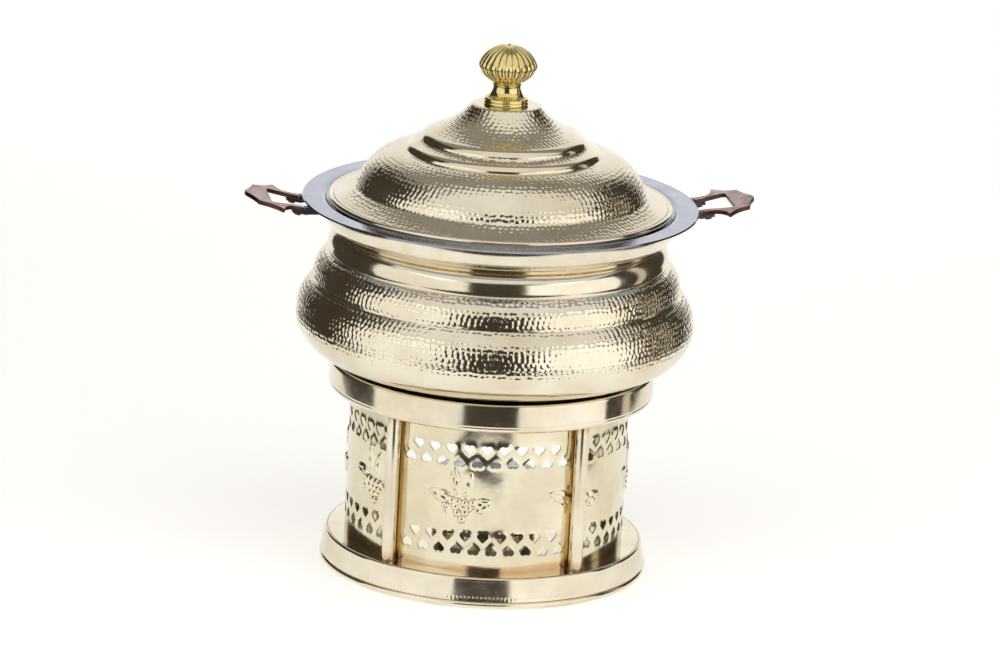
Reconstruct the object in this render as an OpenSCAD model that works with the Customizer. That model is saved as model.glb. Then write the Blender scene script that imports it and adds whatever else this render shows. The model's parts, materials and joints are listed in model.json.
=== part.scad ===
// Chafing dish food warmer: a spun brass pot on a pierced round stand.
// The steel food pan hangs in the pot by its wide flange and carries the two
// handles and the domed lid. A fuel burner stands on the base under the pot.
// Frame: Z up, origin at the centre of the base's underside, handles along X.

/* [Overall] */
// Thickness of the spun brass sheet
wall = 1.6; // [1.2:0.1:2.2]
// Gap left between a round piece and the seat that it rests in
seat_gap = 0.3; // [0.2:0.05:0.5]
// Radial clearance of a stud or a rivet in its hole
stud_gap = 0.05; // [0.02:0.01:0.08]
// Turn of the stand about Z, which sets where its four posts stand
stand_turn = -10; // [-45:1:45]

/* [Base] */
// Radius over the rolled bottom edge of the base
base_r = 150; // [140:1:165]
// Height of the base's flat top
base_h = 28; // [22:1:36]
// Radius of the wire in the rolled bottom edge
base_wire_r = 3.4; // [2.8:0.1:4.2]

/* [Stand] */
// Outside radius of the pierced shroud
shroud_r = 127; // [118:1:128]
// Thickness of the shroud's sheet
shroud_wall = 1.2; // [0.8:0.1:1.6]
// Height of the shroud and the posts
stand_h = 137.7; // [120:0.1:160]
// Diameter of a post
post_d = 12.7; // [10:0.1:14]
// Half angle between the two front posts
post_angle = 39; // [35:1:45]
// Outside radius of the top ring
ring_r = 148.4; // [147:0.1:150]
// Height of the top ring over its lower lip
ring_h = 26.3; // [24:0.1:30]

/* [Hearts] */
// Number of hearts in one row, all round the shroud
heart_count = 50; // [40:2:56]
// Width of one heart
heart_w = 10.5; // [8:0.5:11]
// Distance of the outer heart row from the shroud's end
heart_edge = 25; // [20:1:30]
// Distance between the two rows of a band
heart_step = 10.4; // [10:0.1:12]

/* [Pot] */
// Radius of the pot's belly
pot_r = 181; // [176:1:190]
// Outside radius of the pot's neck
neck_r = 148.5; // [146:0.5:152]
// Height of the pot from its floor to its neck
pot_h = 135.6; // [125:0.1:150]
// Height of the flared collar above the neck
collar_h = 27.8; // [22:0.1:34]
// How far the collar flares out past the neck
collar_flare = 15.4; // [14.5:0.1:18]

/* [Food pan] */
// Outside radius of the pan's flange
flange_r = 180; // [172:1:190]
// Radius of the inner edge of the flange's flat top
flange_in = 160.5; // [159:0.1:162]
// Depth of the pan below its flange
pan_depth = 128; // [110:1:135]
// Radius of the pan's bottom corner
pan_corner = 24; // [15:1:35]

/* [Handles] */
// Reach of a handle past the flange's edge
handle_reach = 54.5; // [50:0.5:60]
// Half width over a handle's shoulders
handle_half = 43.5; // [38:0.5:48]
// Thickness of a handle
handle_t = 4; // [3:0.5:6]
// Rise of a handle towards its tip, in degrees
handle_rise = 10; // [0:1:15]

/* [Lid] */
// Radius to the middle of the lid's wire rim
lid_rim_r = 153.5; // [152.5:0.1:154]
// Radius of the wire in the lid's rim
lid_wire_r = 2.6; // [2.2:0.1:2.8]
// Height of the lid from its rim to the flat under the knob
lid_h = 90.9; // [80:0.1:100]
// Thickness of the lid's sheet
lid_wall = 1.4; // [1.2:0.1:1.8]

/* [Knob] */
// Radius of the knob's bulb
bulb_r = 26.6; // [22:0.1:30]
// Number of flutes round the bulb
flute_count = 22; // [16:1:26]
// Radius of the stud that holds the knob
stud_r = 4; // [3:0.5:5]

/* [Burner] */
// Outside radius of the fuel cup
cup_r = 45; // [38:1:52]
// Height of the fuel cup
cup_h = 55; // [45:1:62]
// Radius of the flame opening
mouth_r = 20; // [15:1:24]
// Radius of the rivet that the damper turns on
rivet_r = 2.5; // [2:0.5:3]

/* [Hidden] */
$fn = 96;
arc_n = 8;
eps = 0.05;

// heights, from the floor up
base_top = base_h;
plate_z = base_top + stand_h;
ring_z = plate_z - wall;
ring_top = ring_z + ring_h;
seat_in = [ring_r - 10.9, ring_top - 4.36];
seat_out = [ring_r - 7.1, ring_top - 0.9];
pot_z = ring_top - 15.4;
neck_z = pot_z + pot_h;
collar_top = neck_z + collar_h;
flange_t = 1.6;
flange_top = collar_top + flange_t;
ledge_z = flange_top - 2.8;
rim_z = ledge_z + seat_gap + lid_wire_r;
lid_top = rim_z + lid_h;
knob_neck_z = lid_top + 19;
pan_r = neck_r - wall - 1.4;
post_ring = shroud_r + post_d / 2 + 0.8;
post_turns = [-post_angle, post_angle, 180 - post_angle, 180 + post_angle];
lug_in = flange_r - 14;
lug_out = flange_r + 2;
prong_y = 21.5;
prong_w = 9;
pivot_x = 34;
screw_r = 1.5;
seam_margin = 3.2;
motif_z = base_top + 0.415 * stand_h;
motif_turns = [-94.6, -52, -9.3, 41, 90];
heart_rows = [[stand_h - heart_edge, 0, 0], [stand_h - heart_edge - heart_step, 0.5, 180],
              [heart_edge + 6, 0, 0], [heart_edge + 6 - heart_step, 0.5, 180]];
cap_z = base_top + cup_h;

brass = "#C9BD93";
bright_brass = "#D8B654";
steel = "#BFC4CC";
dark_steel = "#5E6066";
copper = "#8A5F4C";
solder = "#A58F5C";

// ---- outline helpers: points are [radius, height] ----

// An arc from p to q that bulges by s to the left of the way from p to q.
// It leaves q out, so that outlines can be strung together.
function arc(p, q, s, n = arc_n) =
    let (d = q - p, c = norm(d), m = (p + q) / 2, u = [-d[1], d[0]] / c)
    abs(s) < 0.01 ? [for (i = [0:n - 1]) p + d * i / n] :
    let (rad = (c * c / 4 + s * s) / (2 * s), o = m + u * (s - rad),
         half = asin(min(1, c / 2 / abs(rad))) * sign(s),
         mid = atan2(u[1] * sign(s), u[0] * sign(s)))
    [for (i = [0:n - 1]) o + abs(rad) * [cos(mid + half - 2 * half * i / n),
                                         sin(mid + half - 2 * half * i / n)]];

// The unit normal on the left of an outline at its point i.
function left(p, i) =
    let (a = p[max(0, i - 1)], b = p[min(len(p) - 1, i + 1)], d = (b - a) / norm(b - a))
    [-d[1], d[0]];

// The same outline moved by t to its right, with both ends given.
function inside(p, t, first, last) =
    concat([first], [for (i = [1:len(p) - 2]) p[i] - t * left(p, i)], [last]);

function backwards(p) = [for (i = [len(p) - 1:-1:0]) p[i]];

// A closed sheet between an outline and its offset, turned about Z.
module spun(p, t, first, last) {
    rotate_extrude()
        polygon(concat(p, backwards(inside(p, t, first, last))));
}

module ring_plate(r_in, r_out, z0, z1) {
    translate([0, 0, z0])
        difference() {
            cylinder(r = r_out, h = z1 - z0);
            translate([0, 0, -1])
                cylinder(r = r_in, h = z1 - z0 + 2);
        }
}

module disc(r, z0, z1) {
    translate([0, 0, z0])
        cylinder(r = r, h = z1 - z0);
}

// Places a flat shape, drawn across X and up Y, on the stand at an angle from its front.
module around(turn, r0, r1) {
    rotate([0, 0, stand_turn + turn])
        rotate([90, 0, 0])
            translate([0, 0, r0])
                linear_extrude(r1 - r0)
                    children();
}

// ---- stand ----

// The tray: a flat top, a flaring skirt and a bottom edge rolled over a wire.
module base_tray() {
    skirt = concat([[0, base_top]],
                   arc([base_r - 6.5, base_top], [base_r - 3.6, base_top - 2.8], 0.8, 4),
                   [[base_r - 3.6, base_top - 2.8], [base_r - 1.4, base_wire_r * 2]]);
    color(brass) {
        union() {
            spun(skirt, wall, [0, base_top - wall], [base_r - 3, base_wire_r * 2 - 1]);
            rotate_extrude()
                intersection() {
                    translate([base_r - base_wire_r, base_wire_r - 0.4])
                        circle(r = base_wire_r);
                    translate([base_r - 10, 0])
                        square([12, 12]);
                }
        }
    }
}

// A low ring on the base that keeps the burner in the middle.
module burner_ring() {
    color(brass)
        ring_plate(cup_r + 1, cup_r + 1 + wall, base_top, base_top + 6);
}

// One heart, point down, centred on its middle.
module heart(w) {
    s = w / 1.707;
    d = s / sqrt(2);
    union() {
        rotate(45)
            square(s, center = true);
        translate([d / 2, d / 2])
            circle(r = s / 2, $fn = 24);
        translate([-d / 2, d / 2])
            circle(r = s / 2, $fn = 24);
    }
}

// The angle from a place on the shroud to the nearest post.
function from_post(a) =
    min([for (p = post_turns) abs(((a - p) % 360 + 540) % 360 - 180)]);

// A wedge of the full circle between two angles from the stand's front.
module sector(a0, a1, r) {
    am = (a0 + a1) / 2;
    rotate([0, 0, stand_turn])
        translate([0, 0, -1])
            linear_extrude(plate_z + 2)
                polygon([[0, 0], [r * sin(a0), -r * cos(a0)],
                         [r * 2 * sin(am), -r * 2 * cos(am)],
                         [r * sin(a1), -r * cos(a1)]]);
}

// One rolled panel of the shroud. Three meet behind the posts, and the back is open for the burner.
module shroud_panel(a0, a1) {
    seam = 0.1;
    color(brass)
        difference() {
            intersection() {
                ring_plate(shroud_r - shroud_wall, shroud_r, base_top, plate_z);
                sector(a0 + seam, a1 - seam, shroud_r * 1.6);
            }
            hearts_between(a0, a1);
        }
}

// The hearts of the panel between two angles: each row is [height, offset in pitches, turn].
module hearts_between(a0, a1) {
    pitch = 360 / heart_count;
    for (row = heart_rows)
        for (i = [-heart_count / 2:heart_count / 2])
            let (a = (i + row[1]) * pitch)
                if (a > a0 && a < a1 && from_post(a) > seam_margin)
                    around(a, shroud_r - 4, shroud_r + 4)
                        translate([0, base_top + row[0]])
                            rotate(row[2])
                                heart(heart_w);
}

// A bunch of grapes in relief: rows of 3, 2 and 1 low cones, set in an upside-down triangle.
module grape_bunch(turn) {
    grape_r = 4;
    grape_h = 2.2;
    pitch = 8.6;
    for (row = [0:2])
        for (i = [0:2 - row])
            let (a = turn + (i - (2 - row) / 2) * pitch / shroud_r * 57.3)
                if (from_post(a) > (post_d / 2 + grape_r + 0.5) / shroud_r * 57.3)
                    rotate([0, 0, stand_turn + a])
                        translate([0, -shroud_r - 2 * eps, motif_z + 7 - row * pitch * 0.87])
                            rotate([90, 0, 0])
                                cylinder(r1 = grape_r, r2 = grape_r * 0.45, h = grape_h);
}

module grape_relief() {
    color(brass)
        for (turn = motif_turns)
            grape_bunch(turn);
}

// One leaf, drawn as the overlap of two circles.
module leaf(l, w) {
    r = (l * l / 4 + w * w / 4) / w;
    intersection() {
        translate([r - w / 2, 0])
            circle(r = r);
        translate([w / 2 - r, 0])
            circle(r = r);
    }
}

// Four thin leaves round each bunch: [across, up, length, width, turn].
module leaf_relief() {
    leaves = [[-21.5, 14.5, 19, 9, 62], [19, -6, 20, 9, 70], [-5, 25, 22, 7, 8], [5, 26, 22, 7, -16]];
    color(brass)
        intersection() {
            ring_plate(shroud_r + eps, shroud_r + 0.65, motif_z - 45, motif_z + 45);
            for (turn = motif_turns)
                for (l = leaves)
                    around(turn, shroud_r - 8, shroud_r + 4)
                        translate([l[0], motif_z + l[1]])
                            rotate(l[4])
                                leaf(l[2], l[3]);
        }
}

// A round tube from the base to the plate, at an angle from the stand's front.
module post(turn) {
    color(brass)
        rotate([0, 0, stand_turn + turn])
            translate([0, -post_ring, base_top])
                difference() {
                    cylinder(d = post_d, h = stand_h);
                    translate([0, 0, -1])
                        cylinder(d = post_d - 2 * shroud_wall, h = stand_h + 2);
                }
}

// Solder round both ends of every post.
module solder_collars() {
    foot = 1.1;
    color(solder)
        for (turn = post_turns)
            rotate([0, 0, stand_turn + turn])
                translate([0, -post_ring, 0])
                    for (end = [0, 1])
                        translate([0, 0, end == 0 ? base_top : plate_z])
                            mirror([0, 0, end])
                                rotate_extrude()
                                    polygon([[post_d / 2 + eps, 0], [post_d / 2 + eps, foot],
                                             [post_d / 2 + foot * 0.6, 0]]);
}

// The flat ring that the posts carry, open in the middle for the heat.
module upper_plate() {
    color(brass)
        ring_plate(shroud_r - 9, ring_r - 4.6, plate_z, plate_z + wall);
}

// The top ring: a turned-in lower lip, a round-edged band and a sloping seat for the pot.
module top_ring() {
    lip = ring_r - 6.6;
    band = concat([[lip, ring_z]],
                  arc([ring_r - 3.6, ring_z], [ring_r, ring_z + 4.4], -1, 4),
                  [[ring_r, ring_z + 4.4]],
                  arc([ring_r, ring_top - 2.6], [ring_r - 2.4, ring_top], -0.8, 4),
                  [[ring_r - 2.4, ring_top], [ring_r - 5, ring_top], seat_out, seat_in]);
    under = seat_in + [1.1, -1.2];
    color(brass)
        spun(backwards(band), wall, under, [lip, ring_z + wall]);
}

// ---- pot ----

// The pot's outside, from the neck down: a smooth shoulder, two hammered bulges,
// a smooth hem and a tucked foot that drops into the top ring.
function pot_outline() =
    let (b = pot_r - neck_r,
         shoulder = [neck_r + 0.175 * b, pot_z + 0.8476 * pot_h],
         waist = [neck_r + 0.563 * b, pot_z + 0.6522 * pot_h],
         hem = [neck_r + 0.612 * b, pot_z + 0.2207 * pot_h],
         tuck = [seat_out[0] + 6.7, seat_out[1] + 5],
         cone = [seat_out[0] + 2.2, seat_out[1] + 0.4 + 0.909 * 2.2],
         foot = [seat_in[0] - 4, seat_in[1] + 0.4 - 0.909 * 4],
         sole = [seat_in[0] - 19.5, pot_z])
    concat(arc([neck_r, neck_z], shoulder, 3),
           arc(shoulder, waist, 4.2),
           arc(waist, hem, 0.23 * (hem[1] - waist[1]) * -1, 16),
           arc(hem, tuck, 1.2, 5),
           [tuck, cone],
           arc(foot, sole, 1.6, 5),
           [sole, [0, pot_z]]);

module pot_body() {
    color(brass)
        spun(pot_outline(), wall, [neck_r - wall, neck_z], [0, pot_z + wall]);
}

// The flared collar that is soldered on at the neck and carries the pan's flange.
module pot_collar() {
    lip = neck_r + collar_flare;
    flare = concat(arc([lip, collar_top], [neck_r, neck_z], 3.7, 12), [[neck_r, neck_z]]);
    color(brass)
        spun(flare, wall, [lip - wall - 0.4, collar_top], [neck_r - wall, neck_z]);
}

// ---- food pan ----

function pan_outline() =
    let (floor_z = flange_top - pan_depth - flange_t)
    concat([[flange_r, collar_top], [flange_in + 0.7, collar_top],
            [flange_in - 2.3, ledge_z - flange_t], [pan_r + 2.1, ledge_z - flange_t],
            [pan_r, ledge_z - flange_t - 2.1]],
           arc([pan_r, floor_z + pan_corner], [pan_r - pan_corner, floor_z], 0.293 * pan_corner),
           [[pan_r - pan_corner, floor_z], [0, floor_z]]);

// The food pan: a wide flat flange, a recess for the lid's rim and a deep bowl.
module food_pan() {
    color(steel)
        spun(pan_outline(), flange_t, [flange_r, flange_top],
             [0, flange_top - pan_depth]);
}

// A handle's own frame: X outwards from the flange, tilted by the handle's rise.
module on_handle(side) {
    rotate([0, 0, side < 0 ? 180 : 0])
        translate([lug_out, 0, collar_top - handle_t])
            rotate([0, -handle_rise, 0])
                children();
}

// Two lugs under the flange, each with a tongue that the handle's prong lies on.
module lugs(side) {
    color(dark_steel)
        for (y = [-prong_y, prong_y])
            difference() {
                union() {
                    rotate([0, 0, side < 0 ? 180 : 0])
                        translate([lug_in, y - prong_w / 2 + 0.5, collar_top - handle_t - 2.4])
                            cube([lug_out - lug_in, prong_w - 1, handle_t + 2.4]);
                    on_handle(side)
                        translate([-3, y - prong_w / 2 + 0.5, -2.4 - eps])
                            cube([14, prong_w - 1, 2.4]);
                }
                on_handle(side)
                    translate([5.5, y, -6])
                        cylinder(r = screw_r + stud_gap, h = 8);
            }
}

// Half of a handle's outline, from the tip round to the inside of the prong.
function handle_side() =
    let (k = handle_reach - 2, h = handle_half)
    concat([[k, 0.12 * h]],
           arc([k, 0.12 * h], [k - 9, 0.66 * h], 1.0),
           arc([k - 9, 0.66 * h], [k - 30, h], 2.6),
           arc([k - 30, h], [12, prong_y + prong_w / 2], 2.0),
           [[8, prong_y + prong_w / 2], [1.2, prong_y + prong_w / 2],
            [1.2, prong_y - prong_w / 2]],
           arc([8, prong_y - prong_w / 2], [k - 24, 0.54 * h], 0.6),
           arc([k - 24, 0.54 * h], [k - 22, 0.46 * h], 0.6, 4),
           [[k - 22, 0.46 * h]]);

function mirrored(p) = [for (i = [len(p) - 1:-1:0]) [p[i][0], -p[i][1]]];

// A flat cast handle: two prongs, two shoulders and a scalloped grip round an open middle.
module handle(side) {
    color(copper)
        difference() {
            on_handle(side)
                linear_extrude(handle_t)
                    polygon(concat(handle_side(), mirrored(handle_side())));
            on_handle(side)
                for (y = [-prong_y, prong_y])
                    translate([5.5, y, -1])
                        cylinder(r = screw_r + stud_gap, h = 3.8);
        }
}

// Four screws from below, through the tongues and into the prongs.
module handle_screws() {
    color(dark_steel)
        for (side = [-1, 1])
            on_handle(side)
                for (y = [-prong_y, prong_y])
                    translate([5.5, y, 0]) {
                        translate([0, 0, -4])
                            cylinder(r = screw_r, h = 6.4);
                        translate([0, 0, -4.2])
                            cylinder(r = 3, h = 1.8 - 2 * eps);
                    }
}

// ---- lid ----

// The lid's outside, from the flat under the knob out to the wire rim: a hollow bell,
// a bead, a groove, a second bead, the dome and the brim.
function lid_outline() =
    let (t = lid_top,
         bell = [bulb_r + 4.4, t - 0.8],
         bead_a = [68, t - 0.294 * lid_h],
         groove_a = [75.3, t - 0.374 * lid_h],
         bead_b = [82, t - 0.41 * lid_h],
         groove_b = [88.5, t - 0.482 * lid_h],
         brim = [lid_rim_r - 21.7, t - 0.865 * lid_h],
         end = [lid_rim_r - 1.93, rim_z + 2.3])
    concat([[stud_r + stud_gap, t], [bell[0] - 2, t]],
           arc(bell, bead_a, -3.2),
           arc(bead_a, groove_a, 1.6, 5),
           arc(groove_a, bead_b, -0.5, 3),
           arc(bead_b, groove_b, 1.6, 5),
           arc(groove_b, brim, 8.5, 14),
           arc(brim, end, -0.6, 4),
           [end]);

module lid_shell() {
    color(brass)
        spun(lid_outline(), lid_wall, [stud_r + stud_gap, lid_top - lid_wall],
             [lid_rim_r - 2.5, rim_z + 1.02]);
}

module lid_rim() {
    color(brass)
        rotate_extrude()
            translate([lid_rim_r, rim_z])
                circle(r = lid_wire_r, $fn = 32);
}

// The knob's banded foot and neck.
module knob_foot() {
    z = lid_top;
    neck = bulb_r / 2;
    outline = concat([[stud_r + stud_gap, z], [bulb_r * 0.74, z]],
                     arc([bulb_r * 0.74, z], [bulb_r * 0.74, z + 6], -0.6, 5),
                     [[bulb_r * 0.74, z + 6], [bulb_r * 0.68, z + 6.8]],
                     arc([bulb_r * 0.68, z + 6.8], [neck, knob_neck_z], 2.4),
                     [[neck, knob_neck_z], [stud_r + stud_gap, knob_neck_z]]);
    color(bright_brass)
        rotate_extrude()
            polygon(outline);
}

// The knob's onion bulb with shallow flutes and a pointed tip.
module knob_bulb() {
    z = knob_neck_z;
    wide = [bulb_r, z + 0.63 * bulb_r];
    tip = [0.12 * bulb_r, z + 1.31 * bulb_r];
    outline = concat([[0, z]],
                     [[bulb_r * 0.49, z]],
                     arc([bulb_r * 0.49, z + 1.5], wide, -2.6),
                     arc(wide, tip, -4.6, 10),
                     [tip, [0, z + 1.37 * bulb_r]]);
    lobe = bulb_r * 0.126;
    color(bright_brass)
        difference() {
            intersection() {
                rotate_extrude()
                    polygon(outline);
                translate([0, 0, z - 1])
                    linear_extrude(bulb_r * 1.6)
                        union() {
                            circle(r = bulb_r * 0.93);
                            for (i = [0:flute_count - 1])
                                rotate(i * 360 / flute_count)
                                    translate([bulb_r - lobe, 0])
                                        circle(r = lobe, $fn = 24);
                        }
            }
            disc(stud_r + stud_gap, z - 1, z + 13.3);
        }
}

module knob_stud() {
    color(dark_steel)
        disc(stud_r, lid_top - 11.5, knob_neck_z + 13);
}

module knob_washer() {
    z = lid_top - lid_wall;
    color(steel)
        ring_plate(stud_r + stud_gap, 11, z - wall, z);
}

module knob_nut() {
    z = lid_top - lid_wall - wall;
    color(steel)
        difference() {
            translate([0, 0, z - 6.5])
                cylinder(r = 7.5, h = 6.5, $fn = 6);
            disc(stud_r + stud_gap, z - 8, z + 1);
        }
}

// ---- burner ----

module burner_cup() {
    color(steel)
        difference() {
            disc(cup_r, base_top, cap_z);
            disc(cup_r - shroud_wall, base_top + shroud_wall, cap_z + 1);
        }
}

// The cap: a top plate with the flame opening and a skirt over the cup's rim.
module burner_cap() {
    color(steel)
        difference() {
            union() {
                ring_plate(mouth_r, cup_r + seat_gap + shroud_wall, cap_z, cap_z + shroud_wall);
                ring_plate(cup_r + seat_gap, cup_r + seat_gap + shroud_wall, cap_z - 7, cap_z + 0.5);
            }
            translate([pivot_x, 0, cap_z - 1])
                cylinder(r = rivet_r + stud_gap, h = 4);
        }
}

// The damper swings over the flame opening on its rivet.
module damper() {
    z = cap_z + shroud_wall + seat_gap;
    color(dark_steel)
        difference() {
            union() {
                disc(mouth_r + 3, z, z + shroud_wall);
                translate([0, -6, z])
                    cube([pivot_x, 12, shroud_wall]);
                translate([pivot_x, 0, z])
                    cylinder(r = 6, h = shroud_wall);
                translate([-mouth_r - 12, -5, z])
                    cube([14, 10, shroud_wall]);
                translate([-mouth_r - 12, -5, z])
                    cube([shroud_wall, 10, 9]);
            }
            translate([pivot_x, 0, z - 1])
                cylinder(r = rivet_r + stud_gap, h = 4);
        }
}

module damper_rivet() {
    z = cap_z - 1.2;
    color(steel)
        translate([pivot_x, 0, 0])
            union() {
                disc(rivet_r + 1.5, z, cap_z);
                disc(rivet_r, z, cap_z + 2 * shroud_wall + 2 * seat_gap + 1);
                disc(rivet_r + 1.5, cap_z + 2 * shroud_wall + 2 * seat_gap,
                     cap_z + 2 * shroud_wall + 2 * seat_gap + 1.4);
            }
}

base_tray();
burner_ring();
shroud_panel(post_angle - 180, -post_angle);  // shroud_left
shroud_panel(-post_angle, post_angle);  // shroud_front
shroud_panel(post_angle, 180 - post_angle);  // shroud_right
grape_relief();
leaf_relief();
post(post_turns[0]);  // post_front_left
post(post_turns[1]);  // post_front_right
post(post_turns[2]);  // post_back_right
post(post_turns[3]);  // post_back_left
solder_collars();
upper_plate();
top_ring();
pot_body();
pot_collar();
food_pan();
lugs(-1);  // lugs_left
lugs(1);  // lugs_right
handle(-1);  // handle_left
handle(1);  // handle_right
handle_screws();
lid_shell();
lid_rim();
knob_foot();
knob_bulb();
knob_stud();
knob_washer();
knob_nut();
burner_cup();
burner_cap();
damper();
damper_rivet();
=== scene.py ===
"""Chafing dish food warmer: hammered brass pot and lid, steel food pan, pierced round stand.

Every brass skin is an outline turned about Z with hammer marks added along its normal.
"""

import json
import math

import bpy
import numpy as np
from mathutils import Matrix, Vector
from mathutils.geometry import delaunay_2d_cdt


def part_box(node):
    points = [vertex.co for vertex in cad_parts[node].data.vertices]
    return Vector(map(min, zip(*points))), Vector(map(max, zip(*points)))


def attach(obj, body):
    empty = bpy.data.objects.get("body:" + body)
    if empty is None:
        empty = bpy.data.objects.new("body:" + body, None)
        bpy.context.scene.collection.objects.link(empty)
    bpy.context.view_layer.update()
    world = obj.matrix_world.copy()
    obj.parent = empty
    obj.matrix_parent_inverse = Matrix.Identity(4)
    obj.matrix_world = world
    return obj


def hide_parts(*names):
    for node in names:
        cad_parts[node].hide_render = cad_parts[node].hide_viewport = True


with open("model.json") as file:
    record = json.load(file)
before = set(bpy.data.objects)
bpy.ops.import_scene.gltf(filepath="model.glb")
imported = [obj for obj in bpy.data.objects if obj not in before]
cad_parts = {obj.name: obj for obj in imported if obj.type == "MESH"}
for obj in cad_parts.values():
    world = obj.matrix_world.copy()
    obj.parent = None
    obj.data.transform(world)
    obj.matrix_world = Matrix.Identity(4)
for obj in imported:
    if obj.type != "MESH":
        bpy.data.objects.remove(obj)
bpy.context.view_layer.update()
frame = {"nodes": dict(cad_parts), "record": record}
nodes = frame["nodes"]

MM = 0.001
SHEET = 1.6 * MM  # thickness of the spun brass
RIM_SHEET = 1.4 * MM  # thickness of the lid's brass
STAND_TURN = -10.0  # the stand's front, in degrees from -Y
FRONT_POST = 39.0  # half angle between the two front posts
VIEW_AZIMUTH = -10.0
VIEW_ELEVATION = 15.6
VIEW_DISTANCE = 5.0
VIEW_ROLL = 3.1
LENS = 197.5  # millimetres, on a sensor 36 mm wide
AIM_HEIGHT = 0.22


# ---------------------------------------------------------------- outlines

def arc(p, q, bulge, n=8):
    """Points on the circle arc from p to q, q left out, that bulges to the left of the way by bulge."""
    p = np.array(p, float)
    q = np.array(q, float)
    t = np.arange(n)[:, None] / n
    if abs(bulge) < 1e-9:
        return p + (q - p) * t
    chord = np.linalg.norm(q - p)
    up = np.array([-(q - p)[1], (q - p)[0]]) / chord
    radius = (chord * chord / 4 + bulge * bulge) / (2 * bulge)
    centre = (p + q) / 2 + up * (bulge - radius)
    a0 = math.atan2(*(p - centre)[::-1])
    a1 = math.atan2(*(q - centre)[::-1])
    turn = (a1 - a0 + math.pi) % (2 * math.pi) - math.pi
    angles = a0 + turn * t[:, 0]
    return centre + abs(radius) * np.stack([np.cos(angles), np.sin(angles)], 1)


def even(outline, step):
    """The outline with points about one step apart along its length."""
    outline = np.array(outline, float)
    along = np.concatenate([[0], np.cumsum(np.linalg.norm(np.diff(outline, axis=0), axis=1))])
    n = max(2, int(round(along[-1] / step)) + 1)
    s = np.linspace(0, along[-1], n)
    return np.stack([np.interp(s, along, outline[:, k]) for k in (0, 1)], 1)


def left_normals(outline):
    """Unit normals on the left of an outline."""
    d = np.gradient(outline, axis=0)
    d /= np.maximum(np.linalg.norm(d, axis=1), 1e-12)[:, None]
    return np.stack([-d[:, 1], d[:, 0]], 1)


def sheet_back(outline, thickness, step):
    """The back of a sheet whose front is the outline, running the other way."""
    back = outline - left_normals(outline) * thickness
    back[:, 0] = np.maximum(back[:, 0], 0)
    return even(back[::-1], step)


# ---------------------------------------------------------------- meshes

FINISHES = {}


def add_mesh(name, points, faces, body, slot, stands_for=(), sharp=35.0, finish=None, heat=None):
    """A piece of the object from points and faces, smooth but for edges over sharp degrees.

    finish names its material where it isn't the slot's own, and heat is 0 to 1 at each point: the heat
    colour of the brass, and painted shade on the cast handles' side walls. It is kept as temper, because an
    attribute called heat reads as 0 in the render.
    """
    mesh = bpy.data.meshes.new(name)
    mesh.from_pydata(np.asarray(points).tolist(), [], faces)
    mesh.shade_smooth()
    mesh.set_sharp_from_angle(angle=math.radians(sharp))
    mesh.materials.append(FINISHES[finish or slot])
    if heat is not None:
        temper_and_shade = mesh.attributes.new("temper_and_shade", "FLOAT", "POINT")
        temper_and_shade.data.foreach_set("value", np.asarray(heat, np.float32))
    piece = bpy.data.objects.new(name, mesh)
    bpy.context.scene.collection.objects.link(piece)
    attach(piece, body)
    if stands_for:
        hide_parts(*stands_for)
    return piece


def turned_points(outline, sides, height=None):
    """Points of an outline turned about Z: x = r cos t, y = r sin t, moved along the normal by height."""
    angles = np.arange(sides) * 2 * math.pi / sides
    normals = left_normals(outline)
    lift = np.zeros((len(outline), sides)) if height is None else height
    r = outline[:, 0, None] + lift * normals[:, 0, None]
    z = outline[:, 1, None] + lift * normals[:, 1, None]
    return np.stack([r * np.cos(angles), r * np.sin(angles), z], 2)


def turned_faces(rows, sides, closed):
    """Quads between neighbouring rows and columns; closed joins the last row to the first."""
    i = np.arange(rows if closed else rows - 1)[:, None]
    j = np.arange(sides)[None, :]
    down = (i + 1) % rows
    right = (j + 1) % sides
    quads = np.stack([i * sides + j, down * sides + j, down * sides + right, i * sides + right], 2)
    return quads.reshape(-1, 4)


def closed_poles(outline, sides, faces):
    """Faces as tuples, with every row that lies on the axis drawn together into its first point."""
    owner = np.arange(len(outline) * sides)
    pole = np.repeat(outline[:, 0] < 1e-7, sides)
    owner[pole] -= owner[pole] % sides
    merged = owner[faces]
    touched = pole[faces].any(axis=1)
    whole = [tuple(f) for f in merged[~touched].tolist()]
    capped = [tuple(dict.fromkeys(f)) for f in merged[touched].tolist()]
    return whole + [f for f in capped if len(f) > 2]


def turned(name, outline, sides, body, slot, stands_for=(), height=None, sharp=35.0, **more):
    """A closed outline turned about Z: a ring, or a solid where the outline meets the axis."""
    points = turned_points(outline, sides, height).reshape(-1, 3)
    faces = closed_poles(outline, sides, turned_faces(len(outline), sides, True))
    used = np.unique(np.concatenate([np.ravel(f) for f in faces])) if (outline[:, 0] < 1e-7).any() else None
    if used is not None:
        renumber = np.zeros(len(points), int)
        renumber[used] = np.arange(len(used))
        points = points[used]
        faces = [tuple(renumber[list(f)].tolist()) for f in faces]
    return add_mesh(name, points, faces, body, slot, stands_for, sharp, **more)


def turned_sheet(name, front, sides, body, slot, thickness=SHEET, step=3 * MM, height=None,
                 stands_for=(), **more):
    """A sheet turned about Z: its front is the outline, its back lies a thickness behind."""
    back = sheet_back(front, thickness, step)
    outline = np.concatenate([front, back])
    lift = None
    if height is not None:
        lift = np.zeros((len(outline), sides))
        lift[: len(front)] = height
    return turned(name, outline, sides, body, slot, stands_for, lift, **more)


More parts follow.
